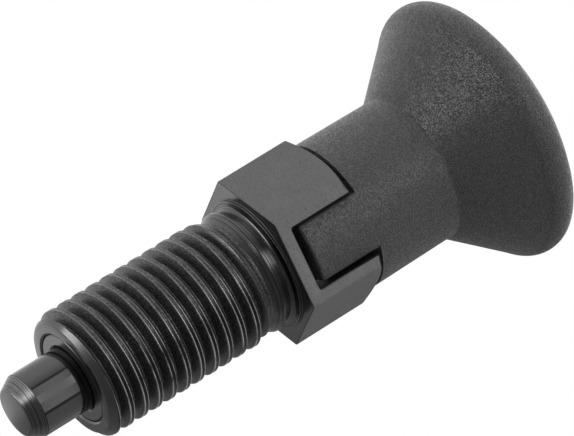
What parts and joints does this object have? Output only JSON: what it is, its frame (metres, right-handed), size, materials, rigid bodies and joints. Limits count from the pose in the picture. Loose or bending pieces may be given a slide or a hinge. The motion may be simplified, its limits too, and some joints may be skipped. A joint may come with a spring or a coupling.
{
  "type": "indexing plunger",
  "caption": "Spring-loaded indexing plunger: threaded steel barrel with slotted hexagon collar, chamfered locking pin and black mushroom grip that pulls back to free the pin.",
  "frame": {"origin": "centre of the round seat that lands on the machine wall, on the plunger's axis", "axes": "+Z along the axis from the pin's nose to the grip; the cross slot runs along Y, so the grip's lugs show on the -Y and +Y sides"},
  "size_m": [0.025, 0.025, 0.0551],
  "materials": {
    "blackened_steel": "black oxide, turned and milled",
    "bush_steel": "black oxide, turned",
    "pin_steel": "black oxide, ground",
    "spring_wire": "bright spring wire",
    "grip_plastic": "moulded, fine eroded grain"
  },
  "bodies": {
    "sleeve": {"threaded_sleeve": "blackened_steel", "guide_bush": "bush_steel"},
    "spring": {"compression_spring": "spring_wire"},
    "plunger": {"indexing_pin": "pin_steel", "mushroom_grip": "grip_plastic"}
  },
  "joints": [
    {"name": "lock_turn", "type": "hinge", "parent": "sleeve", "child": "spring", "pos_m": [0, 0, 0], "axis": [0, 0, 1], "range_deg": [-2.8, 2.8]},
    {"name": "pull", "type": "slide", "parent": "spring", "child": "plunger", "axis": [0, 0, 1], "range_m": [0, 0.0062], "stiffness_N_per_m": 1300, "springref_m": -0.0047, "deforming": ["compression_spring"]}
  ]
}
